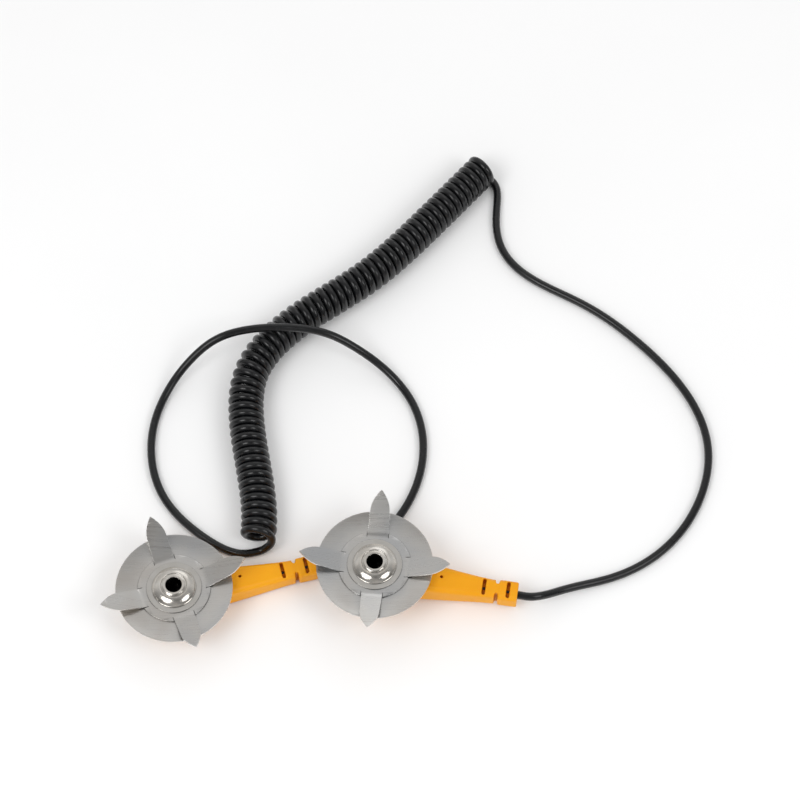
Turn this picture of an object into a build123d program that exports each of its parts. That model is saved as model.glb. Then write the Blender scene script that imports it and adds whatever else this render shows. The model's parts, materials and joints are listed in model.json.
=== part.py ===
"""Double-ended ground cord for static control, millimetres, +Z up.

Two moulded snap plugs are joined by one cord whose middle is wound into a coil. Each plug's
10 mm snap socket holds a four-clawed disc, which is pushed into a rubber mat to ground it.
The origin lies on the left snap's axis in the bench plane, and +X runs towards the right plug.

Both ends are made once, in the plug's own frame: origin on the snap axis at the underside,
+X along the plug towards its cable. Then each piece is placed at the left and the right seat.
"""
import os
from math import cos, pi, radians, sin

from build123d import *

os.makedirs("parts", exist_ok=True)

# --- Fits and sheet thicknesses -------------------------------------------------------------
POCKET_GAP = 0.05              # moulded pocket around each buried round piece
RUNNING_GAP = 0.075            # ring spring around the stud's neck
SNAP_GAP = 0.3                 # socket rim to the stud's base
THIN, PLATE, WASHER = 0.4, 0.5, 0.35

# --- Cord and coil --------------------------------------------------------------------------
CORD_R = 1.35
COIL_R = 4.75                  # coil axis to cord centre
COIL_PITCH = 2.8               # nearly closed turns
COIL_Z = CORD_R + COIL_R + 0.02                 # the coil lies on the bench
LEAD_Z = CORD_R + 0.08                          # loose cord on the bench
STEPS_PER_TURN = 8
WALK = 0.02                    # step along the coil axis while the turns are laid
LOWER_TURNS, BEND_TURNS = 19, 13               # the upper part has the rest
LOWER_OPENING, UPPER_OPENING, OPENING_LENGTH = 9.0, 1.5, 4.0   # extra pitch at the coil's ends
CROSSING_Z = 2 * COIL_Z + CORD_R + 0.25                        # left lead where it crosses the coil
COIL_AXIS = [
    (26.1, 18),
    (25.2, 42),
    (21.8, 63),
    (23, 83),
    (37.2, 101.9),
    (60.5, 119.2),
    (82.6, 141.4),
    (104.9, 166.9),
]

# --- Moulded plug, distances from the snap axis ---------------------------------------------
HEAD_R, HEAD_H = 9.25, 10.2
# Distance, width and height of the shank's sections
SHANK = [(5, 13, 10.2), (12, 10.9, 9.8), (20, 9.6, 8.8), (30, 7.9, 7.6), (41, 6.6, 6.8)]
SHANK_CORNER = 1.7
RING_START, RING_END, RING_SIZE = 41.0, 47.0, 7.0
CABLE_Z = 3.4
SLOT_W, SLOT_LENGTH, SIDE_SLOT_DEPTH = 1.1, 5.6, 1.8
TOP_SLOT_FLOOR, LOW_SLOT_ROOF = 4.8, 1.3
FACE_SLOTS, SIDE_SLOT = (35.9, 43.8), 40.1
PIN_HOLE_X, PIN_HOLE_Y, PIN_HOLE_R, PIN_HOLE_FLOOR = 21.8, 0.6, 0.5, 7.0
LEAD_START = 48.4              # the loose cord begins beyond the pivot, clear of the flexing plug

# --- Snap socket, ring spring and stud ------------------------------------------------------
SOCKET_R, SOCKET_FLANGE_R, MOUTH_R, GROOVE_R = 6.5, 7.4, 5.15, 6.1
RIM_PROUD = 0.3
SOCKET_FLOOR, GROOVE_LOW, GROOVE_HIGH = HEAD_H - 3.7, HEAD_H - 1.5, HEAD_H - 0.3
WIRE_R, RING_OPENING = 0.45, 24            # the split ring lacks this many degrees
NECK_R, BEAD_R, STUD_BASE_R, STUD_H = 4.5, 5.0, 7.75, 3.7
BEAD_LOW, BEAD_HIGH, BEAD_ROUND = 0.85, 1.25, 0.6        # heights above the stud's end
NECK_FLARE, INSIDE_SHIFT = 0.15, 0.1
TUBE_R, HOLE_R, ROLL_R = 3.1, 2.7, 3.9     # eyelet: tube outside, tube inside, rolled end

# --- Clawed disc ----------------------------------------------------------------------------
DISC_R, DISC_FLAT_R, DISC_RISE = 19.0, 11.9, 0.7
CLAW_RING_R, CLAW_ROOT_R, CLAW_SHOULDER_R, CLAW_TIP_R = 11.8, 10.9, 18.2, 24.2
CLAW_BASE_W, CLAW_SHOULDER_W, CLAW_TIP_W, CLAW_LIFT = 6.9, 6.4, 0.7, 22
PRESSURE_R, EYELET_R, EYELET_BROW_R, COLLAR_R = 8.9, 7.15, 4.3, 3.6
EYELET_H, COLLAR_H = 1.8, 2.15
EYELET_SHOULDER_R, EYELET_SHOULDER_H = 6.45, 1.31
BROW_W, BROW_DIP, SLOPE_WALL = 0.2, 0.21, 0.525

# --- Electrical line inside the plug --------------------------------------------------------
TAG_START, TAG_BEND, TAG_END, TAG_W = -3.5, 10.0, 14.0, 4.0
TAG_SLOPE = 1.0                # run of the bend down to the wire
RESISTOR_ROUND = 0.46
RESISTOR_X, RESISTOR_L, RESISTOR_R, WIRE_LEAD_R = 15.4, 6.4, 1.15, 0.3
WIRE_IN_TAG, WIRE_IN_FERRULE = 11.8, 28.0
FERRULE_X, FERRULE_L, FERRULE_R, CONDUCTOR_R = 26.0, 5.5, 1.2, 0.6
TAIL_X = 34.0

# --- Where the two ends lie -----------------------------------------------------------------
RIGHT_SNAP = (65.0, 6.94, 3.0)             # raised, because the left lead passes below this plug
LEFT_YAW, RIGHT_YAW = 14.2, -8.4
LEFT_CLAW, RIGHT_CLAW = 19.0, -4.5         # heading of one claw on each disc

# --- Heights that follow --------------------------------------------------------------------
RIM_TOP = HEAD_H + RIM_PROUD
STUD_LOW = RIM_TOP + SNAP_GAP              # underside of the stud's base
DISC_LOW = STUD_LOW + THIN
DISC_TOP = DISC_LOW + PLATE
CLAW_TOP = DISC_TOP + PLATE
EYELET_LOW = CLAW_TOP + WASHER
STUD_END = STUD_LOW - STUD_H
TUBE_HOLE_R = TUBE_R + POCKET_GAP
RING_Z = (GROOVE_LOW + GROOVE_HIGH) / 2
RESISTOR_END = RESISTOR_X + RESISTOR_L
TAG_TOP = SOCKET_FLOOR - THIN              # the tag lies under the socket's floor
TAG_LOW = CABLE_Z + WIRE_LEAD_R            # its free end lies on the resistor's wire


def across(x, z=CABLE_Z):
    """Plane across the plug at distance x, with its own X towards the plug's left side."""
    return Plane((x, 0, z), x_dir=(0, 1, 0), z_dir=(1, 0, 0))


def heading(degrees):
    """Unit vector in plan."""
    return Vector(cos(radians(degrees)), sin(radians(degrees)), 0)


def rod(x, length, radius, mode=Mode.ADD):
    """Round bar on the cable axis, added to or cut from the piece being built."""
    with BuildSketch(across(x)) as section:
        Circle(radius)
    extrude(section.sketch, amount=length, mode=mode)


def turned(*points):
    """Turn a closed (radius, height) outline about the snap axis."""
    with BuildSketch(Plane.XZ) as half_section:
        with BuildLine():
            Polyline(*points, close=True)
        make_face()
    revolve(half_section.sketch, axis=Axis.Z)


# --- Pieces buried in the plug --------------------------------------------------------------
with BuildPart() as contact_tag:
    with BuildSketch(Plane.XZ):
        with BuildLine():
            Polyline(
                (TAG_START, TAG_TOP),
                (TAG_BEND, TAG_TOP),
                (TAG_BEND + THIN + TAG_SLOPE, TAG_LOW + THIN),
                (TAG_END, TAG_LOW + THIN),
                (TAG_END, TAG_LOW),
                (TAG_BEND + TAG_SLOPE, TAG_LOW),
                (TAG_BEND - THIN, TAG_TOP - THIN),
                (TAG_START, TAG_TOP - THIN),
                close=True,
            )
        make_face()
    extrude(amount=TAG_W / 2, both=True)

with BuildPart() as resistor:
    rod(RESISTOR_X, RESISTOR_L, RESISTOR_R)
    fillet(resistor.edges().filter_by(GeomType.CIRCLE), RESISTOR_ROUND)

with BuildPart() as resistor_leads:
    rod(WIRE_IN_TAG, RESISTOR_X - WIRE_IN_TAG, WIRE_LEAD_R)
    rod(RESISTOR_END, WIRE_IN_FERRULE - RESISTOR_END, WIRE_LEAD_R)

with BuildPart() as crimp_ferrule:
    rod(FERRULE_X, FERRULE_L, FERRULE_R)
    rod(FERRULE_X, FERRULE_L, CONDUCTOR_R + POCKET_GAP, mode=Mode.SUBTRACT)

with BuildPart() as conductor_end:
    rod(WIRE_IN_FERRULE, TAIL_X - WIRE_IN_FERRULE, CONDUCTOR_R)

with BuildPart() as cord_tail:
    rod(TAIL_X, RING_END - TAIL_X, CORD_R)

with BuildPart() as snap_socket:
    turned(
        (0, TAG_TOP),
        (SOCKET_FLANGE_R, TAG_TOP),
        (SOCKET_FLANGE_R, SOCKET_FLOOR),
        (SOCKET_R, SOCKET_FLOOR),
        (SOCKET_R, RIM_TOP),
        (MOUTH_R, RIM_TOP),
        (MOUTH_R, GROOVE_HIGH),
        (GROOVE_R, GROOVE_HIGH),
        (GROOVE_R, GROOVE_LOW),
        (MOUTH_R, GROOVE_LOW),
        (MOUTH_R, SOCKET_FLOOR),
        (0, SOCKET_FLOOR),
    )
    fillet(snap_socket.edges().group_by(Axis.Z)[-1], THIN / 2)

with BuildPart() as ring_spring:
    with BuildSketch(Plane.XZ):
        with Locations((NECK_R + RUNNING_GAP + WIRE_R, RING_Z)):
            Circle(WIRE_R)
    revolve(axis=Axis.Z, revolution_arc=360 - RING_OPENING)

# --- Moulded plug over them -----------------------------------------------------------------
with BuildPart() as plug_body:
    with BuildSketch():
        Circle(HEAD_R)
    extrude(amount=HEAD_H)
    for x, width, height in SHANK:
        with BuildSketch(across(x, height / 2)):
            RectangleRounded(width, height, SHANK_CORNER)
    loft()
    with BuildSketch(across(RING_START, RING_SIZE / 2)):
        RectangleRounded(RING_SIZE, RING_SIZE, SHANK_CORNER)
    extrude(amount=RING_END - RING_START)
    fillet(plug_body.edges().group_by(Axis.X)[-1], THIN)

    # Strain relief: slots in the upper and lower faces, and one pair in the sides between them
    above = (Align.CENTER, Align.CENTER, Align.MIN)
    below = (Align.CENTER, Align.CENTER, Align.MAX)
    for x in FACE_SLOTS:
        with Locations((x, 0, TOP_SLOT_FLOOR)):
            Box(SLOT_W, SLOT_LENGTH, RING_SIZE, align=above, mode=Mode.SUBTRACT)
        with Locations((x, 0, LOW_SLOT_ROOF)):
            Box(SLOT_W, SLOT_LENGTH, RING_SIZE, align=below, mode=Mode.SUBTRACT)
    with Locations((SIDE_SLOT, RING_SIZE / 2, 0), (SIDE_SLOT, -RING_SIZE / 2, 0)):
        Box(SLOT_W, 2 * SIDE_SLOT_DEPTH, 3 * RING_SIZE, mode=Mode.SUBTRACT)

    # Hole left by the mould's locating pin
    with Locations((PIN_HOLE_X, PIN_HOLE_Y, PIN_HOLE_FLOOR)):
        Cylinder(PIN_HOLE_R, HEAD_H, align=above, mode=Mode.SUBTRACT)

    # Pockets around the buried pieces
    with BuildSketch(Plane.XY.offset(TAG_TOP)):
        Circle(SOCKET_FLANGE_R + POCKET_GAP)
    extrude(amount=THIN + POCKET_GAP, mode=Mode.SUBTRACT)
    with BuildSketch(Plane.XY.offset(TAG_TOP)):
        Circle(SOCKET_R + POCKET_GAP)
    extrude(amount=HEAD_H, mode=Mode.SUBTRACT)
    add(contact_tag.part, mode=Mode.SUBTRACT)
    rod(WIRE_IN_TAG - POCKET_GAP, WIRE_IN_FERRULE - WIRE_IN_TAG, WIRE_LEAD_R + POCKET_GAP, Mode.SUBTRACT)
    rod(RESISTOR_X - POCKET_GAP, RESISTOR_L + 2 * POCKET_GAP, RESISTOR_R + POCKET_GAP, Mode.SUBTRACT)
    rod(FERRULE_X - POCKET_GAP, FERRULE_L + 2 * POCKET_GAP, FERRULE_R + POCKET_GAP, Mode.SUBTRACT)
    rod(FERRULE_X, TAIL_X - FERRULE_X, CONDUCTOR_R + POCKET_GAP, Mode.SUBTRACT)
    rod(TAIL_X - POCKET_GAP, RING_END, CORD_R + POCKET_GAP, Mode.SUBTRACT)

# --- Clawed disc with its snap stud ---------------------------------------------------------
with BuildPart() as snap_stud:
    turned(
        (TUBE_HOLE_R, DISC_LOW),
        (STUD_BASE_R, DISC_LOW),
        (STUD_BASE_R, STUD_LOW),
        (NECK_R, STUD_LOW),
        (NECK_R, GROOVE_LOW + NECK_FLARE),
        (BEAD_R, STUD_END + BEAD_HIGH),
        (BEAD_R, STUD_END + BEAD_LOW),
        (BEAD_R - BEAD_ROUND, STUD_END),
        (TUBE_HOLE_R, STUD_END),
        (TUBE_HOLE_R, STUD_END + THIN),
        (NECK_R - THIN, STUD_END + THIN),
        (BEAD_R - THIN, STUD_END + BEAD_LOW + INSIDE_SHIFT),
        (BEAD_R - THIN, STUD_END + BEAD_HIGH - INSIDE_SHIFT),
        (NECK_R - THIN, GROOVE_LOW),
        (NECK_R - THIN, STUD_LOW),
        (TUBE_HOLE_R, STUD_LOW),
    )

with BuildPart() as mat_disc:
    with BuildSketch(Plane.XZ):
        with BuildLine():
            lower_dish, upper_dish = [
                TangentArc((DISC_FLAT_R, z), (DISC_R, z + DISC_RISE), tangent=(1, 0))
                for z in (DISC_LOW, DISC_TOP)
            ]
            Line(lower_dish @ 1, upper_dish @ 1)
            Polyline(
                upper_dish @ 0,
                (TUBE_HOLE_R, DISC_TOP),
                (TUBE_HOLE_R, DISC_LOW),
                lower_dish @ 0,
            )
        make_face()
    revolve(axis=Axis.Z)

claw_plane = Plane((CLAW_ROOT_R, 0, CLAW_TOP)).rotated((0, -CLAW_LIFT, 0))
shoulder_x = (CLAW_SHOULDER_R - CLAW_ROOT_R) / cos(radians(CLAW_LIFT))
tip_x = (CLAW_TIP_R - CLAW_ROOT_R) / cos(radians(CLAW_LIFT))
with BuildPart() as claw:
    with BuildSketch(claw_plane):
        with BuildLine():
            Line((0, CLAW_BASE_W / 2), (0, -CLAW_BASE_W / 2))
            for side in (1, -1):
                edge = Line((0, side * CLAW_BASE_W / 2), (shoulder_x, side * CLAW_SHOULDER_W / 2))
                TangentArc(edge @ 1, (tip_x, side * CLAW_TIP_W / 2), tangent=edge % 1)
            Line((tip_x, CLAW_TIP_W / 2), (tip_x, -CLAW_TIP_W / 2))
        make_face()
    extrude(amount=-PLATE)

with BuildPart() as claw_washer:
    with BuildSketch(Plane.XY.offset(DISC_TOP)):
        Circle(CLAW_RING_R)
        Circle(TUBE_HOLE_R, mode=Mode.SUBTRACT)
    extrude(amount=PLATE)
    with PolarLocations(0, 4):
        add(claw.part)

with BuildPart() as pressure_washer:
    with BuildSketch(Plane.XY.offset(CLAW_TOP)):
        Circle(PRESSURE_R)
        Circle(TUBE_HOLE_R, mode=Mode.SUBTRACT)
    extrude(amount=WASHER)

with BuildPart() as eyelet:
    turned(
        (HOLE_R, STUD_END - WASHER),
        (ROLL_R, STUD_END - WASHER),
        (ROLL_R, STUD_END),
        (TUBE_R, STUD_END),
        (TUBE_R, EYELET_LOW + EYELET_H - 2 * WASHER),
        (EYELET_BROW_R, EYELET_LOW + EYELET_H - SLOPE_WALL),
        (EYELET_SHOULDER_R - THIN, EYELET_LOW + EYELET_SHOULDER_H - WASHER),
        (EYELET_R - WASHER, EYELET_LOW),
        (EYELET_R, EYELET_LOW),
        (EYELET_R, EYELET_LOW + WASHER),
        (EYELET_SHOULDER_R, EYELET_LOW + EYELET_SHOULDER_H),
        (EYELET_BROW_R, EYELET_LOW + EYELET_H),
        (EYELET_BROW_R - BROW_W, EYELET_LOW + EYELET_H - BROW_DIP),
        (COLLAR_R, EYELET_LOW + EYELET_H),
        (COLLAR_R, EYELET_LOW + COLLAR_H),
        (HOLE_R, EYELET_LOW + COLLAR_H),
    )

# --- Both ends, placed ----------------------------------------------------------------------
plug_pieces = {
    "plug_body": plug_body,
    "snap_socket": snap_socket,
    "ring_spring": ring_spring,
    "contact_tag": contact_tag,
    "resistor": resistor,
    "resistor_leads": resistor_leads,
    "crimp_ferrule": crimp_ferrule,
    "conductor_end": conductor_end,
    "cord_tail": cord_tail,
}
disc_pieces = {
    "snap_stud": snap_stud,
    "mat_disc": mat_disc,
    "claw_washer": claw_washer,
    "pressure_washer": pressure_washer,
    "eyelet": eyelet,
}


def place(pieces, side, seat):
    """Write each piece of one end at its seat, named after that side."""
    for name, piece in pieces.items():
        placed = piece.part.moved(seat.location)
        placed.label = f"{side}_{name}"
        export_step(placed, f"parts/{side}_{name}.step")


left_seat = Plane((0, 0, 0), x_dir=heading(LEFT_YAW))
right_seat = Plane(RIGHT_SNAP, x_dir=heading(RIGHT_YAW))
place(plug_pieces, "left", left_seat)
place(plug_pieces, "right", right_seat)
place(disc_pieces, "left", Plane((0, 0, 0), x_dir=heading(LEFT_CLAW)))
place(disc_pieces, "right", Plane(RIGHT_SNAP, x_dir=heading(RIGHT_CLAW)))

# --- Coil -----------------------------------------------------------------------------------
coil_axis = Spline(*[(x, y, COIL_Z) for x, y in COIL_AXIS])


def pitch_at(distance, bend):
    """Pitch that keeps the inner side of a bend closed and opens the two end turns."""
    lower = max(0, 1 - distance / OPENING_LENGTH) * LOWER_OPENING
    upper = max(0, 1 - (coil_axis.length - distance) / OPENING_LENGTH) * UPPER_OPENING
    return (COIL_PITCH + lower + upper) * (1 + COIL_R * bend)


def lay_turns():
    """Cord centres along the left-handed coil, from below its lower end to below its upper end."""
    points, turns, distance = [], 0.0, 0.0
    before = coil_axis % 0
    while distance < coil_axis.length:
        along = coil_axis.tangent_at(distance, PositionMode.LENGTH)
        if turns * STEPS_PER_TURN >= len(points):
            angle = -pi / 2 - 2 * pi * len(points) / STEPS_PER_TURN
            left = Vector(-along.Y, along.X, 0)
            centre = coil_axis.position_at(distance, PositionMode.LENGTH)
            points.append(centre + left * COIL_R * cos(angle) + Vector(0, 0, COIL_R * sin(angle)))
        bend = along.cross(before).length / WALK
        turns += WALK / pitch_at(distance, bend)
        distance += WALK
        before = along
    whole_turns = (len(points) - 1) // STEPS_PER_TURN
    return points[: whole_turns * STEPS_PER_TURN + 1], whole_turns


def coiled(points):
    """Wound length of cord; its section follows the winding."""
    with BuildPart() as cord:
        with BuildLine() as path:
            Spline(*points)
        with BuildSketch(Plane(path.line @ 0, z_dir=path.line % 0)):
            Circle(CORD_R)
        sweep(is_frenet=True)
    return cord


def write_cord(cord, name):
    """Label and write one length of cord."""
    cord.part.label = name
    export_step(cord.part, f"parts/{name}.step")


turn_points, turn_count = lay_turns()


def end_tangent(index, pitch):
    """Direction of the cord below the coil's first or last turn, where the turn opens into a lead."""
    along = coil_axis.tangent_at(index)
    right = Vector(along.Y, -along.X, 0)
    return (right * 2 * pi * COIL_R + along * pitch).normalized()


bend_start = LOWER_TURNS * STEPS_PER_TURN
bend_end = bend_start + BEND_TURNS * STEPS_PER_TURN
write_cord(coiled(turn_points[: bend_start + 1]), "coil_lower")
write_cord(coiled(turn_points[bend_start : bend_end + 1]), "coil_bend")
write_cord(coiled(turn_points[bend_end:]), "coil_upper")

# --- Leads between the coil and the plugs ---------------------------------------------------
GAPS = 4                       # points laid between two stations of a lead
BUTT_GAP = 0.4                 # a lead and the coil it continues are separate pieces
STRAIGHT = 3.0                 # each end of a lead runs straight for this length
GUIDE_LIFT = 6.0               # the section keeps its upright towards a copy of the path above it
HALFWAY = 0.45                 # share of the crossing's height at the feet of its slopes


def slopes(heights):
    """Rise per gap at each station, level wherever the height stops rising or falling."""
    rises = [b - a for a, b in zip(heights, heights[1:])]
    inner = [2 * a * b / (a + b) if a * b > 0 else 0 for a, b in zip(rises, rises[1:])]
    return [0, *inner, 0]


def lead_path(stations):
    """Points on a lead: a smooth curve in plan, whose height never passes its stations' heights."""
    flat = [Vector(x, y, 0) for x, y, _ in stations]
    heights = [z for _, _, z in stations]
    slope = slopes(heights)
    plan = Spline(*flat)
    marks = [plan.param_at_point(point) for point in flat]
    points = [Vector(*stations[0])]
    for i in range(len(stations) - 1):
        for k in range(1, GAPS + 1):
            t = k / GAPS
            plan_point = plan.position_at(marks[i] + (marks[i + 1] - marks[i]) * t)
            height = (
                heights[i] * (1 + 2 * t) * (1 - t) ** 2
                + slope[i] * t * (1 - t) ** 2
                + heights[i + 1] * t * t * (3 - 2 * t)
                - slope[i + 1] * t * t * (1 - t)
            )
            points.append(Vector(plan_point.X, plan_point.Y, height))
    return points


def loose(points):
    """Loose length of cord along the points."""
    with BuildPart() as cord:
        with BuildLine() as path:
            Spline(*points)
        with BuildSketch(Plane(path.line @ 0, z_dir=path.line % 0)):
            Circle(CORD_R)
        sweep(binormal=path.edge().moved(Location((0, 0, GUIDE_LIFT))))
    return cord


def boot_exit(seat):
    """First two stations of a lead, straight out of its plug."""
    return [tuple(seat.from_local_coords(Vector(LEAD_START + x, 0, CABLE_Z))) for x in (0, STRAIGHT)]


lower_along = end_tangent(0, COIL_PITCH + LOWER_OPENING)
upper_along = end_tangent(1, COIL_PITCH + UPPER_OPENING)
lower_end = turn_points[0] - lower_along * BUTT_GAP
upper_end = turn_points[-1] + upper_along * BUTT_GAP
left_stations = boot_exit(left_seat) + [
    (60, 17.6, LEAD_Z),
    (73.7, 31.5, LEAD_Z),
    (81.3, 57.5, LEAD_Z),
    (75, 78.4, LEAD_Z),
    (60.8, 90.4, HALFWAY * CROSSING_Z),
    (45, 95, CROSSING_Z),
    (28, 96, CROSSING_Z),
    (13.5, 93.2, CROSSING_Z),
    (1, 86.4, HALFWAY * CROSSING_Z),
    (-8, 73, LEAD_Z),
    (-10.6, 54.5, LEAD_Z),
    (-5.6, 37.4, LEAD_Z),
    (6.8, 24.2, LEAD_Z),
    tuple(lower_end - lower_along * STRAIGHT),
    tuple(lower_end),
]
right_stations = boot_exit(right_seat) + [
    (126, 3.2, 0.5 * (right_seat.origin.Z + CABLE_Z)),
    (142, 8, LEAD_Z),
    (160, 18.2, LEAD_Z),
    (173.8, 38.5, LEAD_Z),
    (176.9, 58.5, LEAD_Z),
    (169.8, 78.5, LEAD_Z),
    (154.5, 97.4, LEAD_Z),
    (136, 112.4, LEAD_Z),
    (118, 122.6, LEAD_Z),
    (109.8, 131, LEAD_Z),
    (106.8, 147.5, LEAD_Z),
    tuple(upper_end + upper_along * STRAIGHT),
    tuple(upper_end),
]
write_cord(loose(lead_path(left_stations)), "left_lead")
write_cord(loose(lead_path(right_stations)), "right_lead")
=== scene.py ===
"""Looks of the double-ended coiled ground cord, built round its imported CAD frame, in metres.

The cord is one centre line, read from the CAD lengths of cord, with a clean round jacket along it.
The plugs are softened copies of the CAD solid, as moulded PVC is, and every turned or stamped
piece is rebuilt with rounded edges. The contact tags, resistors, ferrules and bared conductors
buried in the plugs stay the CAD's own.
"""

import heapq
import json
from math import asin, cos, pi, radians, sin

import bmesh
import bpy
import numpy as np
from mathutils import Matrix, Vector


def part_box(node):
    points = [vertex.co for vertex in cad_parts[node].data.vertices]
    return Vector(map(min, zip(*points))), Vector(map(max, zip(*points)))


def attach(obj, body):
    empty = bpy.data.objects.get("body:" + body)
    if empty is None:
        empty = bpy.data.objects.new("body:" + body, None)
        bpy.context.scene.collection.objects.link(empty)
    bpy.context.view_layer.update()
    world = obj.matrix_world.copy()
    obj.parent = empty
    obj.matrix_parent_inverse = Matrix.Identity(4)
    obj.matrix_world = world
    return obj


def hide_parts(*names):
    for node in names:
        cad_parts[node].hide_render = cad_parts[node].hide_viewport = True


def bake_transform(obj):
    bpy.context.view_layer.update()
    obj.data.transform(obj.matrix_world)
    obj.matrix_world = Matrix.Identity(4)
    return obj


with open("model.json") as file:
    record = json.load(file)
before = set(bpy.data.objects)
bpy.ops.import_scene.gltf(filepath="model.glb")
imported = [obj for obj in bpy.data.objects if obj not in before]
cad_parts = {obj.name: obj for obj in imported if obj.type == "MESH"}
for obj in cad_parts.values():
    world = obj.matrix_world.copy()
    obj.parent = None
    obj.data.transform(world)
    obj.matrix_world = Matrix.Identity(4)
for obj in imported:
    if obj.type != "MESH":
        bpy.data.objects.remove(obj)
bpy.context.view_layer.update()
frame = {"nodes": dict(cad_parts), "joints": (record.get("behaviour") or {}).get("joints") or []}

MM = 0.001
SIDES = ("left", "right")
UP = Vector((0, 0, 1))

# Cord
CORD_R = 1.35 * MM
RING_STEP = 0.72 * MM          # along the cord
RING_POINTS = 20
TUBE_SMOOTH_ANGLE = 60         # degrees; its flat ends stay sharp
BOOT_POINTS = 24
END_TRIM = 1.3 * MM            # near a CAD end the normals mix with the cap's
BIN = 0.5 * MM
HELD_END, FREED_WITHIN = 5 * MM, 22 * MM     # a lead keeps the CAD's path at its ends
RELAX_PASSES = 90

# Turned and stamped pieces
BORE = 3.15                    # in mm, round the eyelet's tube
SHEET = 0.5                    # in mm, of the mat disc and the clawed washer
EDGE_ROUND = 0.06 * MM
ROUNDED_SHARE = 0.45           # of a side of an outline, at most, given to the arc at its corner
TURNED_STEPS = 160
TURNED_SMOOTH_ANGLE = 38
NORMAL_WEIGHT = 80

# Ring spring
RING_OPENING = 24              # degrees
RING_STEPS = 120

# Moulded plug
VOXEL = 0.25 * MM
SOFTENING, SOFTENING_FACTOR = 7, 0.5

joints = {joint["name"]: joint for joint in frame["joints"]}


# --- Mesh helpers ---------------------------------------------------------------------------
def new_piece(name, vertices, faces, smooth_angle=None):
    """Object from vertices and faces, shaded smooth, or smooth up to an angle in degrees."""
    mesh = bpy.data.meshes.new(name)
    mesh.from_pydata([tuple(v) for v in vertices], [], [tuple(f) for f in faces])
    mesh.validate()
    piece = bpy.data.objects.new(name, mesh)
    bpy.context.scene.collection.objects.link(piece)
    shade(piece, smooth_angle)
    return piece


def shade(piece, smooth_angle=None):
    """Smooth shading, with edges sharper than the angle kept sharp."""
    piece.data.polygons.foreach_set("use_smooth", [True] * len(piece.data.polygons))
    if smooth_angle is not None:
        piece.data.set_sharp_from_angle(angle=radians(smooth_angle))
    piece.data.update()


def crisp(piece, smooth_angle):
    """Smooth shading led by the large faces, so that flat sheet looks flat beside its rounding."""
    shade(piece, smooth_angle)
    baked(piece, ("WEIGHTED_NORMAL", {"weight": NORMAL_WEIGHT, "keep_sharp": True}))


def baked(piece, *modifiers):
    """Apply modifiers, given as (type, settings), and keep the resulting mesh."""
    for kind, settings in modifiers:
        modifier = piece.modifiers.new(kind.lower(), kind)
        for key, value in settings.items():
            setattr(modifier, key, value)
    graph = bpy.context.evaluated_depsgraph_get()
    result = bpy.data.meshes.new_from_object(piece.evaluated_get(graph))
    piece.modifiers.clear()
    piece.data = result
    return piece


def welded(node):
    """Vertices and triangles of a CAD node, with the joins between its faces closed."""
    mesh = frame["nodes"][node].data
    points = np.empty(len(mesh.vertices) * 3, np.float32)
    mesh.vertices.foreach_get("co", points)
    points = points.reshape(-1, 3).astype(float)
    mesh.calc_loop_triangles()
    triangles = np.empty(len(mesh.loop_triangles) * 3, np.int32)
    mesh.loop_triangles.foreach_get("vertices", triangles)
    _, first, index = np.unique(np.round(points, 7), axis=0, return_index=True, return_inverse=True)
    triangles = index.reshape(-1)[triangles.reshape(-1, 3)]
    apart = (np.diff(np.sort(triangles, 1)) > 0).all(1)
    return points[first], triangles[apart]


# --- Centre line of the cord ----------------------------------------------------------------
def distances_along(links, start):
    """Shortest distance from the start to every point over weighted links."""
    reached = {}
    queue = [(0.0, start)]
    while queue:
        distance, here = heapq.heappop(queue)
        if here in reached:
            continue
        reached[here] = distance
        for there, length in links[here]:
            if there not in reached:
                heapq.heappush(queue, (distance + length, there))
    return reached


def centre_line(node, start_near):
    """Points along the middle of a CAD length of cord, from its end nearest a point."""
    points, triangles = welded(node)
    corners = points[triangles]
    facing = np.cross(corners[:, 1] - corners[:, 0], corners[:, 2] - corners[:, 0])
    normals = np.zeros_like(points)
    for corner in range(3):
        np.add.at(normals, triangles[:, corner], facing)
    normals /= np.maximum(np.linalg.norm(normals, axis=1, keepdims=True), 1e-20)
    centres = points - CORD_R * normals
    sides = np.unique(np.sort(triangles[:, [0, 1, 1, 2, 2, 0]].reshape(-1, 2), 1), axis=0)
    lengths = np.linalg.norm(centres[sides[:, 0]] - centres[sides[:, 1]], axis=1)
    links = [[] for _ in points]
    for (a, b), length in zip(sides.tolist(), lengths.tolist()):
        links[a].append((b, length))
        links[b].append((a, length))
    start = int(np.argmin(np.linalg.norm(centres - np.array(start_near), axis=1)))
    reached = distances_along(links, start)
    index = np.array(list(reached))
    along = np.array(list(reached.values()))
    kept = (along > END_TRIM) & (along < along.max() - END_TRIM)
    index, bins = index[kept], (along[kept] / BIN).astype(int)
    bins -= bins.min()
    count = np.bincount(bins)
    line = np.stack([np.bincount(bins, centres[index, axis]) for axis in range(3)], 1)
    return line[count > 0] / count[count > 0][:, None]


def bridge(before, after):
    """Points that carry one line smoothly on to the next, without its two ends."""
    gap = np.linalg.norm(after[0] - before[-1])
    leave = before[-1] - before[-3]
    arrive = after[2] - after[0]
    leave = leave / np.linalg.norm(leave) * gap
    arrive = arrive / np.linalg.norm(arrive) * gap
    t = np.linspace(0, 1, max(3, int(gap / BIN) + 1))[1:-1, None]
    return (
        before[-1] * (1 + 2 * t) * (1 - t) ** 2
        + leave * t * (1 - t) ** 2
        + after[0] * t * t * (3 - 2 * t)
        - arrive * t * t * (1 - t)
    )


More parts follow.
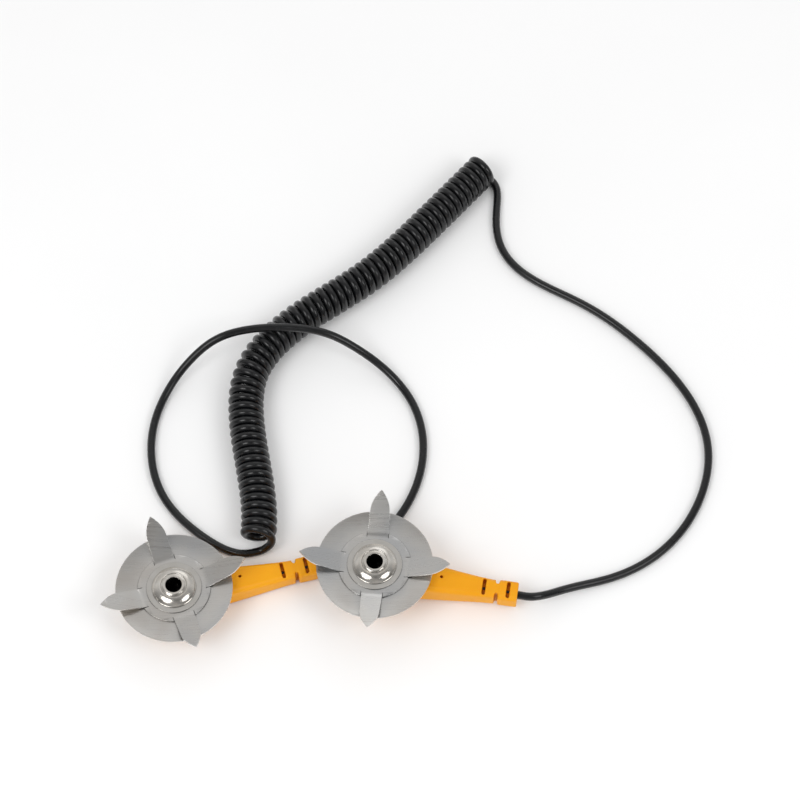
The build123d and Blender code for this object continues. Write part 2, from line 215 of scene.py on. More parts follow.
def boot_line(side):
    """Middle of the cord inside a plug, from its buried end outwards."""
    snap = Vector(joints[f"{side}_disc_swivel"]["pos_m"])
    pivot = Vector(joints[f"{side}_boot_flex"]["pos_m"])
    outwards = (pivot - snap) * Vector((1, 1, 0))
    outwards.normalize()
    points, _ = welded(f"{side}_cord_tail")
    reach = (points - np.array(pivot)) @ np.array(outwards)
    steps = np.linspace(reach.min(), reach.max(), BOOT_POINTS)
    return np.array(pivot) + steps[:, None] * np.array(outwards)


left_boot = boot_line("left")
right_boot = boot_line("right")[::-1]
lines = [left_boot]
for node in ("left_lead", "coil_lower", "coil_bend", "coil_upper", "right_lead"):
    lines.append(centre_line(node, lines[-1][-1]))
lines.append(right_boot)

chain, marks = [lines[0]], []
for before, after in zip(lines, lines[1:]):
    link = bridge(before, after)
    marks.append(sum(len(part) for part in chain) + len(link) // 2)
    chain += [link, after]
chain = np.vstack(chain)
for _ in range(2):
    chain[1:-1] = chain[1:-1] / 2 + (chain[:-2] + chain[2:]) / 4
travel = np.concatenate([[0], np.cumsum(np.linalg.norm(np.diff(chain, axis=0), axis=1))])
ring_count = int(travel[-1] / RING_STEP)
stations = np.linspace(0, travel[-1], ring_count)
spine = np.stack([np.interp(stations, travel, chain[:, axis]) for axis in range(3)], 1)
spine[1:-1] = spine[1:-1] / 2 + (spine[:-2] + spine[2:]) / 4
marks = [int(round(travel[mark] / travel[-1] * (ring_count - 1))) for mark in marks]
BOOT_IN, COIL_IN, BEND_IN, BEND_OUT, COIL_OUT, BOOT_OUT = marks


def smooth_share(t):
    """Smooth step from 0 to 1."""
    t = np.clip(t, 0, 1)
    return t * t * (3 - 2 * t)


def relax(first, last):
    """Ease the small waves out of a loose lead, and leave both its ends as they are."""
    part = spine[first : last + 1]
    count = len(part)
    from_end = np.minimum(np.arange(count), np.arange(count)[::-1]) * RING_STEP
    freedom = smooth_share((from_end - HELD_END) / FREED_WITHIN)[:, None]
    for _ in range(RELAX_PASSES):
        pull = (part[:-2] + part[2:]) / 4 - part[1:-1] / 2
        part[1:-1] += pull * freedom[1:-1]


relax(BOOT_IN, COIL_IN)
relax(COIL_OUT, BOOT_OUT)


def frames_along(line):
    """Two unit vectors across the line at each point, turned as little as possible."""
    tangents = np.gradient(line, axis=0)
    tangents /= np.linalg.norm(tangents, axis=1, keepdims=True)
    first = np.cross(tangents[0], (0, 0, 1))
    across = [first / np.linalg.norm(first)]
    for tangent in tangents[1:]:
        vector = across[-1] - tangent * (across[-1] @ tangent)
        across.append(vector / np.linalg.norm(vector))
    across = np.array(across)
    return across, np.cross(tangents, across)


spine_a, spine_b = frames_along(spine)


def tube(name, line, a, b, radius):
    """Closed round tube along a line, with a map that runs round it and along it."""
    turn = np.arange(RING_POINTS) * 2 * pi / RING_POINTS
    rings = (
        line[:, None]
        + radius * np.cos(turn)[None, :, None] * a[:, None]
        + radius * np.sin(turn)[None, :, None] * b[:, None]
    )
    count = len(line)
    faces = []
    for i in range(count - 1):
        for k in range(RING_POINTS):
            after = (k + 1) % RING_POINTS
            low, high = i * RING_POINTS, (i + 1) * RING_POINTS
            faces.append((low + k, low + after, high + after, high + k))
    faces.append(tuple(reversed(range(RING_POINTS))))
    faces.append(tuple((count - 1) * RING_POINTS + k for k in range(RING_POINTS)))
    piece = new_piece(name, rings.reshape(-1, 3), faces, TUBE_SMOOTH_ANGLE)
    mapping = piece.data.uv_layers.new(name="along")
    coordinates = np.zeros((len(piece.data.loops), 2), np.float32)
    position = 0
    for i in range(count - 1):
        for k in range(RING_POINTS):
            corners = ((k, i), (k + 1, i), (k + 1, i + 1), (k, i + 1))
            for step, (u, v) in enumerate(corners):
                coordinates[position + step] = (u / RING_POINTS, v * RING_STEP)
            position += 4
    mapping.data.foreach_set("uv", coordinates.ravel())
    return piece


def cord_piece(name, first, last):
    """Length of the cord between two of its rings."""
    part = slice(first, last + 1)
    return tube(name, spine[part], spine_a[part], spine_b[part], CORD_R)


def follow(piece):
    """Bake a cord piece's placement into its mesh."""
    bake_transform(piece)


left_cord = cord_piece("left_cord_jacket", 0, COIL_IN)
follow(left_cord)
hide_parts("left_lead", "left_cord_tail")
right_cord = cord_piece("right_cord_jacket", COIL_OUT, ring_count - 1)
follow(right_cord)
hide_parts("right_lead", "right_cord_tail")
lower_coil = cord_piece("coil_lower_turns", COIL_IN, BEND_IN)
follow(lower_coil)
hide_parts("coil_lower")
upper_coil = cord_piece("coil_upper_turns", BEND_OUT, COIL_OUT)
follow(upper_coil)
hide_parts("coil_upper")
middle_coil = cord_piece("coil_bend_turns", BEND_IN, BEND_OUT)
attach(middle_coil, "coil_middle")
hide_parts("coil_bend")


# --- Turned pieces --------------------------------------------------------------------------
def rounded(outline, radius=EDGE_ROUND):
    """Closed outline of (radius, height) with a small arc at each corner."""
    result = []
    count = len(outline)
    for i, corner in enumerate(outline):
        here = np.array(corner, float)
        before = np.array(outline[i - 1], float) - here
        after = np.array(outline[(i + 1) % count], float) - here
        shorter = min(np.linalg.norm(before), np.linalg.norm(after))
        size = min(radius, shorter * ROUNDED_SHARE)
        if here[0] < 1e-9:
            result.append(tuple(here))
            continue
        enter = here + before / np.linalg.norm(before) * size
        leave = here + after / np.linalg.norm(after) * size
        for t in (0, 0.33, 0.67, 1):
            result.append(tuple((1 - t) ** 2 * enter + 2 * t * (1 - t) * here + t * t * leave))
    return result


def lathe(name, outline, axis_at):
    """Solid of revolution about the vertical through a point, from a closed outline."""
    count = len(outline)
    vertices = []
    for step in range(TURNED_STEPS):
        angle = 2 * pi * step / TURNED_STEPS
        vertices += [
            (axis_at.x + r * cos(angle), axis_at.y + r * sin(angle), z) for r, z in outline
        ]
    faces = []
    for step in range(TURNED_STEPS):
        here, there = step * count, (step + 1) % TURNED_STEPS * count
        for i in range(count):
            j = (i + 1) % count
            faces.append((here + i, there + i, there + j, here + j))
    piece = new_piece(name, vertices, faces)
    shell = bmesh.new()
    shell.from_mesh(piece.data)
    bmesh.ops.remove_doubles(shell, verts=shell.verts, dist=1e-7)
    bmesh.ops.recalc_face_normals(shell, faces=shell.faces)
    shell.to_mesh(piece.data)
    shell.free()
    crisp(piece, TURNED_SMOOTH_ANGLE)
    return piece


def turned(side, node, points, body):
    """Turned piece that stands for a CAD node; its points are in mm above the node's lowest."""
    name = f"{side}_{node}"
    low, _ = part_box(name)
    snap = Vector(joints[f"{side}_disc_swivel"]["pos_m"])
    outline = rounded([(r * MM, low.z + z * MM) for r, z in points])
    piece = lathe(f"{name}_turned", outline, snap)
    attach(piece, f"{side}_{body}")
    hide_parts(name)
    return piece


def dished_disc():
    """Outline of the mat disc: flat in the middle, its rim dished upwards."""
    flat, rim, rise = 11.9, 19.0, 0.7
    radii = np.linspace(flat, rim, 12)
    lower = [(r, rise * ((r - flat) / (rim - flat)) ** 2) for r in radii]
    upper = [(r, z + SHEET) for r, z in reversed(lower)]
    return [(BORE, 0), *lower, *upper, (BORE, SHEET)]


def eyelet_outline():
    """Outline of the rivet eyelet: rolled end, tube, domed flange and collar round its hole."""
    hole, roll, tube_r, rim, brow, collar = 2.7, 3.9, 3.1, 7.15, 4.3, 3.6
    seat, sheet, dome, top = 5.8, 0.35, 1.8, 2.15
    lip = 0.15                 # of the rim, outside the dome
    dome_points = []
    for t in np.linspace(0, 1, 9):
        r = rim - lip + (brow - rim + lip) * t
        dome_points.append((r, seat + sheet + (dome - sheet) * (1 - (1 - t) ** 1.7) ** 0.85))
    under = [(r - lip, z - sheet * 1.25) for r, z in reversed(dome_points[2:-1])]
    return [
        (hole, 0), (roll, 0), (roll, sheet), (tube_r, sheet), (tube_r, seat + dome - 2 * sheet),
        *under, (rim - 0.6, seat), (rim, seat), (rim, seat + sheet * 0.8),
        *dome_points, (brow - 0.2, seat + dome - 0.2), (collar, seat + dome - 0.05),
        (collar, seat + top - 0.1), (collar - 0.25, seat + top), (hole, seat + top),
    ]


def stud_outline():
    """Outline of the snap stud: a flat base, and a hollow neck that ends in a bead."""
    base, neck, bead, nose = 7.75, 4.5, 5.0, 4.4
    sheet, top = 0.4, 4.1
    under_base, neck_end, bead_high, bead_low = 3.7, 1.75, 1.25, 0.85
    inside_neck, inside_bead = 4.1, 4.6
    inside_neck_end, inside_bead_high, inside_bead_low = 1.6, 1.15, 0.95
    return [
        (BORE, top), (base, top), (base, under_base), (neck, under_base), (neck, neck_end),
        (bead, bead_high), (bead, bead_low), (nose, 0), (BORE, 0), (BORE, sheet),
        (inside_neck, sheet), (inside_bead, inside_bead_low), (inside_bead, inside_bead_high),
        (inside_neck, inside_neck_end), (inside_neck, under_base), (BORE, under_base),
    ]


def socket_outline():
    """Outline of the snap socket: a cup with a flange below and a groove for its spring."""
    flange, outside, mouth, groove = 7.4, 6.5, 5.15, 6.1
    sheet, top, groove_high, groove_low = 0.4, 4.4, 3.8, 2.6
    return [
        (0, 0), (flange, 0), (flange, sheet), (outside, sheet), (outside, top), (mouth, top),
        (mouth, groove_high), (groove, groove_high), (groove, groove_low), (mouth, groove_low),
        (mouth, sheet), (0, sheet),
    ]


def pressure_outline():
    """Outline of the plain washer under the eyelet."""
    rim, sheet = 8.9, 0.35
    return [(BORE, 0), (rim, 0), (rim, sheet), (BORE, sheet)]


# --- Clawed washer --------------------------------------------------------------------------
CLAWS = 4
CLAW_W, CLAW_SHOULDER_W, CLAW_TIP_W = 6.9 * MM, 6.4 * MM, 0.25 * MM
RING_R = 11.8 * MM
BEND_AT, BEND_LENGTH = 9.7 * MM, 2.0 * MM
CLAW_LIFT = radians(22)
SLIT = 0.14 * MM
TIP_POINTS = 14
CLAW_TAPER = 1.9
CLAW_WAIST = 0.985             # width where it leaves the ring, against its root
RIM_POINTS, BORE_POINTS = 26, 64
BEND_CUTS, BLADE_CUTS = 7, 8
STAMPED_SMOOTH_ANGLE, BEVEL_ANGLE = 35, 50


def claw_outline(tip):
    """Right-hand side of one flat claw, from the slit's foot out to the tip, as (x, y)."""
    shoulder = (tip + RING_R) / 2
    points = [(BEND_AT, CLAW_W / 2), (RING_R, CLAW_W / 2 * CLAW_WAIST)]
    for t in np.linspace(0, 1, TIP_POINTS):
        half = CLAW_TIP_W / 2 + (CLAW_SHOULDER_W - CLAW_TIP_W) / 2 * (1 - t ** CLAW_TAPER)
        points.append((shoulder + (tip - shoulder) * t, half))
    return points


def washer_outline(tip):
    """Outer outline of the flat washer with its claws, anticlockwise."""
    half = CLAW_W / 2 + SLIT
    edge = (RING_R ** 2 - half ** 2) ** 0.5
    side = claw_outline(tip)
    one = [(edge, -half), (BEND_AT, -half)]
    one += [(x, -y) for x, y in side] + list(reversed(side))
    one += [(BEND_AT, half), (edge, half)]
    quarter = 2 * pi / CLAWS
    start, stop = asin(half / RING_R), quarter - asin(half / RING_R)
    arc = np.linspace(start, stop, RIM_POINTS)[1:-1]
    one += [(RING_R * cos(angle), RING_R * sin(angle)) for angle in arc]
    return [
        (x * cos(k * quarter) - y * sin(k * quarter), x * sin(k * quarter) + y * cos(k * quarter))
        for k in range(CLAWS)
        for x, y in one
    ]


def clawed_washer(side):
    """Stamped washer: its claws are cut free at the ring's edge and bent up on a soft radius."""
    node = f"{side}_claw_washer"
    snap = Vector(joints[f"{side}_disc_swivel"]["pos_m"])
    low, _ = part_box(node)
    points, _ = welded(node)
    plan = points[:, :2] - np.array(snap)[:2]
    reach = np.hypot(plan[:, 0], plan[:, 1])
    furthest = plan[int(np.argmax(reach))]
    heading = np.arctan2(furthest[1], furthest[0])
    tip = BEND_AT + (reach.max() - BEND_AT) / cos(CLAW_LIFT)
    outer = washer_outline(tip)
    bore_turn = np.linspace(0, 2 * pi, BORE_POINTS + 1)[:-1]
    inner = [(BORE * MM * cos(angle), BORE * MM * sin(angle)) for angle in bore_turn]
    sheet = bmesh.new()
    for loop in (outer, inner):
        corners = [sheet.verts.new((x, y, 0)) for x, y in loop]
        for a, b in zip(corners, corners[1:] + corners[:1]):
            sheet.edges.new((a, b))
    bmesh.ops.triangle_fill(sheet, use_beauty=True, edges=sheet.edges[:])
    quarter = 2 * pi / CLAWS
    cuts = list(np.linspace(BEND_AT, BEND_AT + BEND_LENGTH, BEND_CUTS))
    cuts += list(np.linspace(BEND_AT + BEND_LENGTH, tip, BLADE_CUTS)[1:-1])
    for k in range(CLAWS):
        direction = Vector((cos(k * quarter), sin(k * quarter), 0))
        for cut in cuts:
            geometry = sheet.verts[:] + sheet.edges[:] + sheet.faces[:]
            bmesh.ops.bisect_plane(
                sheet, geom=geometry, plane_co=direction * cut, plane_no=direction, dist=1e-7
            )
    for vertex in sheet.verts:
        for k in range(CLAWS):
            direction = Vector((cos(k * quarter), sin(k * quarter), 0))
            sideways = Vector((-direction.y, direction.x, 0))
            run, off = vertex.co.dot(direction) - BEND_AT, vertex.co.dot(sideways)
            if run > 0 and abs(off) <= CLAW_W / 2 + SLIT / 3:
                radius = BEND_LENGTH / CLAW_LIFT
                turn = min(run, BEND_LENGTH) / radius
                beyond = max(run - BEND_LENGTH, 0)
                forward = radius * sin(turn) + beyond * cos(turn)
                rise = radius * (1 - cos(turn)) + beyond * sin(turn)
                vertex.co = direction * (BEND_AT + forward) + sideways * off + UP * rise
                break
    bmesh.ops.recalc_face_normals(sheet, faces=sheet.faces)
    bmesh.ops.dissolve_degenerate(sheet, dist=1e-7, edges=sheet.edges[:])
    if sum(face.normal.z for face in sheet.faces) < 0:
        bmesh.ops.reverse_faces(sheet, faces=sheet.faces[:])
    mesh = bpy.data.meshes.new(f"{node}_stamped")
    sheet.to_mesh(mesh)
    sheet.free()
    mesh.transform(Matrix.Translation((snap.x, snap.y, low.z)) @ Matrix.Rotation(heading, 4, "Z"))
    piece = bpy.data.objects.new(mesh.name, mesh)
    bpy.context.scene.collection.objects.link(piece)
    baked(
        piece,
        ("SOLIDIFY", {"thickness": SHEET * MM, "offset": 1.0}),
        (
            "BEVEL",
            {
                "width": EDGE_ROUND,
                "segments": 2,
                "limit_method": "ANGLE",
                "angle_limit": radians(BEVEL_ANGLE),
            },
        ),
    )
    crisp(piece, STAMPED_SMOOTH_ANGLE)
    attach(piece, f"{side}_disc")
    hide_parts(node)
    return piece


# --- Plug and ring spring -------------------------------------------------------------------
def soft_plug(side):
    """Moulded plug: the CAD solid with every edge softened, as PVC leaves the mould."""
    node = f"{side}_plug_body"
    piece = new_piece(f"{side}_plug_moulding", *welded(node))
    size = VOXEL * 1
    baked(
        piece,
        ("REMESH", {"mode": "VOXEL", "voxel_size": size, "adaptivity": 0.0}),
        ("SMOOTH", {"factor": SOFTENING_FACTOR, "iterations": SOFTENING}),
    )
    shade(piece)
    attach(piece, f"{side}_plug")
    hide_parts(node)
    return piece


def plug_direction(side):
    """Unit vector from the snap towards the cable."""
    snap = Vector(joints[f"{side}_disc_swivel"]["pos_m"])
    pivot = Vector(joints[f"{side}_boot_flex"]["pos_m"])
    return ((pivot - snap) * Vector((1, 1, 0))).normalized()


def ring_spring(side):
    """Split ring of round wire; its opening starts at the cable side."""
    node = f"{side}_ring_spring"
    low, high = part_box(node)
    snap = Vector(joints[f"{side}_disc_swivel"]["pos_m"])
    wire = (high.z - low.z) / 2
    points, _ = welded(node)
    outside = np.hypot(points[:, 0] - snap.x, points[:, 1] - snap.y).max()
    along = plug_direction(side)
    opening_at = np.arctan2(along.y, along.x)
    turn = opening_at + np.linspace(0, radians(360 - RING_OPENING), RING_STEPS)
    outwards = np.stack([np.cos(turn), np.sin(turn), np.zeros_like(turn)], 1)
    centre = np.array((snap.x, snap.y, (low.z + high.z) / 2))
    line = centre + (outside - wire) * outwards
    upwards = np.tile((0.0, 0.0, 1.0), (len(turn), 1))
    piece = tube(f"{side}_ring_spring_wire", line, upwards, outwards, wire)
    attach(piece, f"{side}_snap_ring")
    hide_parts(node)
    return piece


cords = (left_cord, right_cord, lower_coil, upper_coil, middle_coil)
plugs, steel, nickel, springs = [], {}, [], []
for side in SIDES:
    plugs.append(soft_plug(side))
    springs.append(ring_spring(side))
    steel[side] = [turned(side, "mat_disc", dished_disc(), "disc"), clawed_washer(side)]
    nickel += [
        turned(side, "eyelet", eyelet_outline(), "disc"),
        turned(side, "pressure_washer", pressure_outline(), "disc"),
        turned(side, "snap_stud", stud_outline(), "disc"),
        turned(side, "snap_socket", socket_outline(), "plug"),
    ]


# --- Materials ------------------------------------------------------------------------------
def add(tree, kind, inputs=None, **settings):
    """New node; an input is a value or another node's output."""
    node = tree.nodes.new(kind)
    for key, value in settings.items():
        setattr(node, key, value)
    for key, value in (inputs or {}).items():
        if isinstance(value, bpy.types.NodeSocket):
            tree.links.new(value, node.inputs[key])
        else:
            node.inputs[key].default_value = value
    return node


def ramp(tree, factor, *stops, interpolation="LINEAR"):
    """Colour ramp over (position, colour) stops."""
    node = add(tree, "ShaderNodeValToRGB", {"Fac": factor})
    node.color_ramp.interpolation = interpolation
    elements = node.color_ramp.elements
    while len(elements) < len(stops):
        elements.new(0.5)
    for element, (position, colour) in zip(elements, stops):
        element.position = position
        element.color = (*colour, 1) if len(colour) == 3 else colour
    return node.outputs["Color"]


def grey(value):
    """Neutral colour."""
    return (value, value, value)


def noise(tree, coordinates, scale, detail=4.0, stretch=(1, 1, 1), turn=0.0):
    """Noise over coordinates, stretched and turned about Z."""
    mapped = add(
        tree,
        "ShaderNodeMapping",
        {"Vector": coordinates, "Scale": stretch, "Rotation": (0, 0, turn)},
    )
    inputs = {"Vector": mapped.outputs[0], "Scale": scale, "Detail": detail}
    return add(tree, "ShaderNodeTexNoise", inputs).outputs[0]


def times(tree, a, b):
    """Product of two colours."""
    inputs = {"Fac": 1.0, "Color1": a, "Color2": b}
    return add(tree, "ShaderNodeMixRGB", inputs, blend_type="MULTIPLY").outputs["Color"]


def painted_crevice_shade(tree, distance, dark):
    """Painted shade: colour darkened towards nearby surfaces, where less light reaches."""
    near = add(tree, "ShaderNodeAmbientOcclusion", {"Distance": distance}, samples=8)
    return ramp(tree, near.outputs["AO"], (0.3, dark), (0.85, grey(1.0)))


def depths(tree):
    """Near-black inside deep holes, where no light reaches."""
    near = add(tree, "ShaderNodeAmbientOcclusion", {"Distance": 9 * MM}, samples=8)
    return ramp(tree, near.outputs["AO"], (0.22, grey(0.01)), (0.42, grey(1.0)))


def bumps(tree, height, depth, strength=1.0, before=None):
    """Surface relief of a given depth in metres."""
    node = add(tree, "ShaderNodeBump", {"Height": height, "Distance": depth, "Strength": strength})
    if before is not None:
        tree.links.new(before, node.inputs["Normal"])
    return node.outputs["Normal"]


def finish_of(name, inputs, build):
    """Material whose node tree is filled in by build(tree, shader, coordinates)."""
    material = bpy.data.materials.new(name)
    material.use_nodes = True
    tree = material.node_tree
    shader = tree.nodes["Principled BSDF"]
    for key, value in inputs.items():
        shader.inputs[key].default_value = value
    coordinates = add(tree, "ShaderNodeTexCoord").outputs["Object"]
    for key, output in build(tree, coordinates).items():
        tree.links.new(output, shader.inputs[key])
    return material


def moulded_pvc():
    """Yellow-orange PVC: satin, slightly translucent, with soft flow marks and mould grain."""
    def build(tree, at):
        deep, pale = (0.82, 0.335, 0.003), (0.87, 0.375, 0.004)
        flow = ramp(tree, noise(tree, at, 55), (0.3, deep), (0.7, pale))
        # Painted shade: orange-brown darkening of the colour in slots and crevices, near other surfaces.
        shade_in = painted_crevice_shade(tree, 1.3 * MM, (0.5, 0.2, 0.05))
        gloss = ramp(tree, noise(tree, at, 420), (0.3, grey(0.30)), (0.7, grey(0.42)))
        grain = bumps(tree, noise(tree, at, 2600, 3), 0.03 * MM, 0.35)
        relief = bumps(tree, noise(tree, at, 210, 2), 0.12 * MM, 0.25, grain)
        return {"Base Color": times(tree, flow, shade_in), "Roughness": gloss, "Normal": relief}

    settings = {
        "Subsurface Weight": 0.12,
        "Subsurface Radius": (1.0, 0.42, 0.12),
        "Subsurface Scale": 0.8 * MM,
        "Specular IOR Level": 0.26,
    }
    return finish_of("moulded_pvc_soft", settings, build)


def cord_jacket():
    """Black polyurethane jacket: semi-gloss, with faint drawn lines and a little dust."""
    def build(tree, at):
        along = add(tree, "ShaderNodeUVMap", uv_map="along").outputs["UV"]
        lines = noise(tree, along, 1.0, 3, (26, 60, 1))
        clean, dusty = (0.0035, 0.0038, 0.0046), (0.014, 0.015, 0.017)
        dust = ramp(tree, noise(tree, at, 700, 6), (0.55, clean), (0.9, dusty))
        gloss = ramp(tree, noise(tree, at, 160), (0.3, grey(0.24)), (0.75, grey(0.36)))
        drawn = bumps(tree, lines, 0.02 * MM, 0.4)
        return {"Base Color": dust, "Roughness": gloss, "Normal": drawn}

    settings = {"Specular IOR Level": 0.46, "Coat Weight": 0.2, "Coat Roughness": 0.12}
    return finish_of("cord_jacket_gloss", settings, build)


def stamped_steel(name, turn):
    """Stainless sheet as rolled: fine grain one way, faint stains, and painted shade darkening its
    seams.
    """
    def build(tree, at):
        grain = noise(tree, at, 1.0, 5, (45, 2600, 45), turn)
        stains = ramp(
            tree, noise(tree, at, 48, 3),
            (0.32, (0.66, 0.625, 0.585)), (0.5, (0.72, 0.705, 0.68)), (0.7, (0.64, 0.645, 0.65)),
        )
        # Painted shade: the colour darkened where the sheet meets other parts.
        painted_seam_shade = painted_crevice_shade(tree, 0.8 * MM, grey(0.08))
        streaks = ramp(tree, grain, (0.25, grey(0.96)), (0.75, grey(1.0)))
        gloss = ramp(tree, grain, (0.2, grey(0.25)), (0.8, grey(0.32)))
        relief = bumps(tree, grain, 0.002 * MM, 0.25)
        waves = bumps(tree, noise(tree, at, 75, 1), 0.06 * MM, 0.3, relief)
        colour = times(tree, times(tree, stains, streaks), painted_seam_shade)
        return {"Base Color": colour, "Roughness": gloss, "Normal": waves}

    return finish_of(name, {"Metallic": 1.0}, build)


def nickel_plate(name, dull, bright, rough):
    """Nickel plate, softened by tumbling."""
    def build(tree, at):
        tint = ramp(tree, noise(tree, at, 300, 5), (0.3, dull), (0.7, bright))
        # Painted shade: colour darkened near other surfaces and near-black deep in holes.
        painted_seam_shade = times(tree, painted_crevice_shade(tree, 0.7 * MM, grey(0.2)), depths(tree))
        gloss = ramp(tree, noise(tree, at, 1500, 4), (0.3, grey(rough)), (0.7, grey(rough + 0.1)))
        relief = bumps(tree, noise(tree, at, 1100, 3), 0.008 * MM, 0.4)
        return {"Base Color": times(tree, tint, painted_seam_shade), "Roughness": gloss, "Normal": relief}

    return finish_of(name, {"Metallic": 1.0}, build)


def drawn_metal(name, dull, bright, rough):
    """Drawn wire or strip metal with a fine mottled surface."""
    def build(tree, at):
        tint = ramp(tree, noise(tree, at, 1800, 5), (0.3, dull), (0.7, bright))
        gloss = ramp(tree, noise(tree, at, 2500, 3), (0.3, grey(rough)), (0.7, grey(rough + 0.12)))
        relief = bumps(tree, noise(tree, at, 3000, 3), 0.01 * MM, 0.5)
        return {"Base Color": tint, "Roughness": gloss, "Normal": relief}

    return finish_of(name, {"Metallic": 1.0}, build)


def resistor_coat(side):
    """Tan lacquer with the four bands of 1 megohm, 5%, along the cable's direction."""
    low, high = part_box(f"{side}_resistor")
    along = plug_direction(side)
    middle = (low + high) / 2
    points, _ = welded(f"{side}_resistor")
    length = np.ptp(points @ np.array(along))

    def build(tree, at):
        run = add(tree, "ShaderNodeVectorMath", {0: at, 1: tuple(along)}, operation="DOT_PRODUCT")
        place = add(
            tree, "ShaderNodeMapRange",
            {
                "Value": run.outputs["Value"],
                "From Min": middle.dot(along) - length / 2,
                "From Max": middle.dot(along) + length / 2,
            },
        )
        body = (0.60, 0.44, 0.25)
        brown, black, green, gold = (0.16, 0.07, 0.03), grey(0.01), (0.03, 0.2, 0.05), (0.55, 0.38, 0.08)
        bands = [
            (0.0, body), (0.2, brown), (0.27, body), (0.38, black), (0.45, body),
            (0.56, green), (0.63, body), (0.78, gold), (0.86, body),
        ]
        colour = ramp(tree, place.outputs[0], *bands, interpolation="CONSTANT")
        mottle = ramp(tree, noise(tree, at, 1500), (0.3, grey(0.88)), (0.7, grey(1.0)))
        return {"Base Color": times(tree, colour, mottle)}

    return finish_of(f"{side}_resistor_lacquer", {"Roughness": 0.3, "Coat Weight": 0.4}, build)


def paint(piece, material):
    """Give a piece its material."""
    if piece.material_slots:
        for place in piece.material_slots:
            place.material = material
    else:
        piece.data.materials.append(material)


pvc, jacket = moulded_pvc(), cord_jacket()
bright_nickel = nickel_plate("nickel_plate_bright", (0.74, 0.70, 0.64), (0.84, 0.81, 0.76), 0.15)
satin_nickel = nickel_plate("nickel_plate_satin", (0.64, 0.62, 0.58), (0.72, 0.70, 0.67), 0.30)
for piece in cords:
    paint(piece, jacket)
for piece in plugs:
    paint(piece, pvc)
for piece in nickel:
    paint(piece, satin_nickel if "washer" in piece.name else bright_nickel)
spring_wire = drawn_metal("spring_steel_wire", (0.45, 0.45, 0.46), (0.6, 0.6, 0.6), 0.22)
for piece in springs:
    paint(piece, spring_wire)
for number, side in enumerate(SIDES):
    for part, piece in enumerate(steel[side]):
        sheet_metal = stamped_steel(f"{piece.name}_sheet", 0.5 + 1.1 * number + 0.9 * part)
        paint(piece, sheet_metal)

brass = drawn_metal("brass_strip_stamped", (0.62, 0.43, 0.16), (0.75, 0.55, 0.25), 0.28)
tinned = drawn_metal("tinned_copper", (0.60, 0.60, 0.58), (0.76, 0.76, 0.74), 0.26)
tinsel = drawn_metal("tinsel_copper_strands", (0.60, 0.26, 0.13), (0.80, 0.42, 0.25), 0.30)
for side in SIDES:
    buried = {
        "contact_tag": (brass, "brass_strip"),
        "resistor": (resistor_coat(side), "resistor_coat"),
        "resistor_leads": (tinned, "tinned_wire"),
        "crimp_ferrule": (tinned, "tinned_wire"),
        "conductor_end": (tinsel, "tinsel_copper"),
    }
    for name, (material, slot) in buried.items():
        paint(frame["nodes"][f"{side}_{name}"], material)


# --- Floor, light and camera ----------------------------------------------------------------
FLOOR_SIZE = 6.0
ROOM_LIGHT = 0.74
VIEW_ELEVATION, VIEW_DISTANCE, LENS = radians(62), 1.0, 132.5
VIEW_TARGET = Vector((73.2 * MM, 75.4 * MM, 0))


def floor():
    """Plain pale bench."""
    half = FLOOR_SIZE / 2
    corners = [(-half, -half, 0), (half, -half, 0), (half, half, 0), (-half, half, 0)]
    bench = new_piece("bench_floor", corners, [(0, 1, 2, 3)])

    def build(tree, at):
        tone = ramp(tree, noise(tree, at, 9), (0.3, grey(0.93)), (0.7, grey(0.95)))
        return {"Base Color": tone}

    settings = {"Roughness": 0.9, "Specular IOR Level": 0.1}
    bench.data.materials.append(finish_of("bench_white", settings, build))


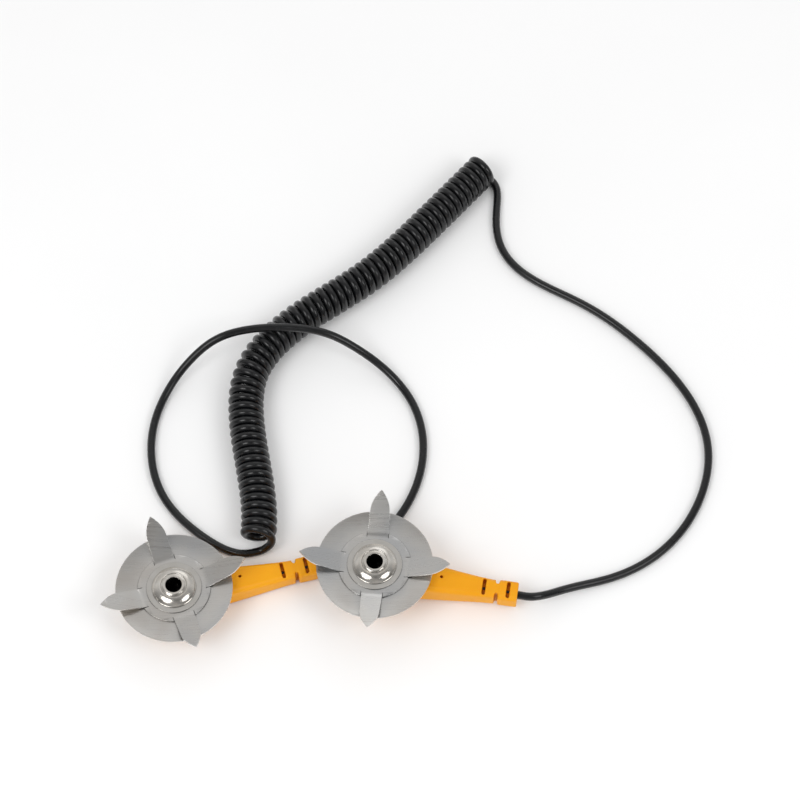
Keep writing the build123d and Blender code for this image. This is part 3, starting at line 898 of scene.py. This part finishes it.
def softbox(name, azimuth, elevation, size, power, distance=1.1):
    """Large soft area light aimed at the object; azimuth 0 is in front, 90 to the right."""
    light = bpy.data.lights.new(name, "AREA")
    light.shape = "DISK"
    light.size = size
    light.energy = power
    lamp = bpy.data.objects.new(name, light)
    a, e = radians(azimuth), radians(elevation)
    towards = Vector((sin(a) * cos(e), -cos(a) * cos(e), sin(e)))
    lamp.location = VIEW_TARGET + towards * distance
    lamp.rotation_euler = (-towards).to_track_quat("-Z", "Y").to_euler()
    bpy.context.scene.collection.objects.link(lamp)


def studio():
    """White room; mirrored in metal, it is darker in front and brighter behind."""
    world = bpy.data.worlds.new("studio")
    world.use_nodes = True
    bpy.context.scene.world = world
    tree = world.node_tree
    direction = add(tree, "ShaderNodeTexCoord").outputs["Generated"]
    backwards = add(tree, "ShaderNodeSeparateXYZ", {0: direction}).outputs["Y"]
    depth = add(tree, "ShaderNodeMapRange", {"Value": backwards, "From Min": -1.0})
    sky = ramp(
        tree, depth.outputs["Result"],
        (0.0, grey(0.45)), (0.3, grey(0.13)), (0.48, grey(0.24)), (0.6, grey(0.42)),
        (0.72, grey(0.68)), (1.0, grey(0.54)),
    )
    cool, warm = (0.72, 0.74, 0.76), (1.06, 1.03, 1.0)
    patches = ramp(tree, noise(tree, direction, 2.4, 1), (0.3, cool), (0.7, warm))
    mirrored = times(tree, sky, patches)
    ray = add(tree, "ShaderNodeLightPath")
    seen = add(
        tree, "ShaderNodeMixRGB",
        {"Fac": ray.outputs["Is Glossy Ray"], "Color1": (*grey(ROOM_LIGHT), 1), "Color2": mirrored},
    )
    tree.links.new(seen.outputs["Color"], tree.nodes["Background"].inputs["Color"])


def camera():
    """Camera at the viewing angle, looking along +Y and down."""
    view = bpy.data.objects.new("camera", bpy.data.cameras.new("camera"))
    towards = Vector((0, cos(VIEW_ELEVATION), -sin(VIEW_ELEVATION)))
    view.location = VIEW_TARGET - towards * VIEW_DISTANCE
    view.rotation_euler = towards.to_track_quat("-Z", "Y").to_euler()
    view.data.lens = LENS
    bpy.context.scene.collection.objects.link(view)
    bpy.context.scene.camera = view


floor()
studio()
softbox("left_softbox", azimuth=-48, elevation=52, size=0.55, power=3.0)
softbox("right_softbox", azimuth=55, elevation=48, size=0.5, power=2.2)
softbox("rear_softbox", azimuth=170, elevation=35, size=0.8, power=0.85, distance=1.4)
camera()
bpy.context.scene.view_settings.view_transform = "Standard"
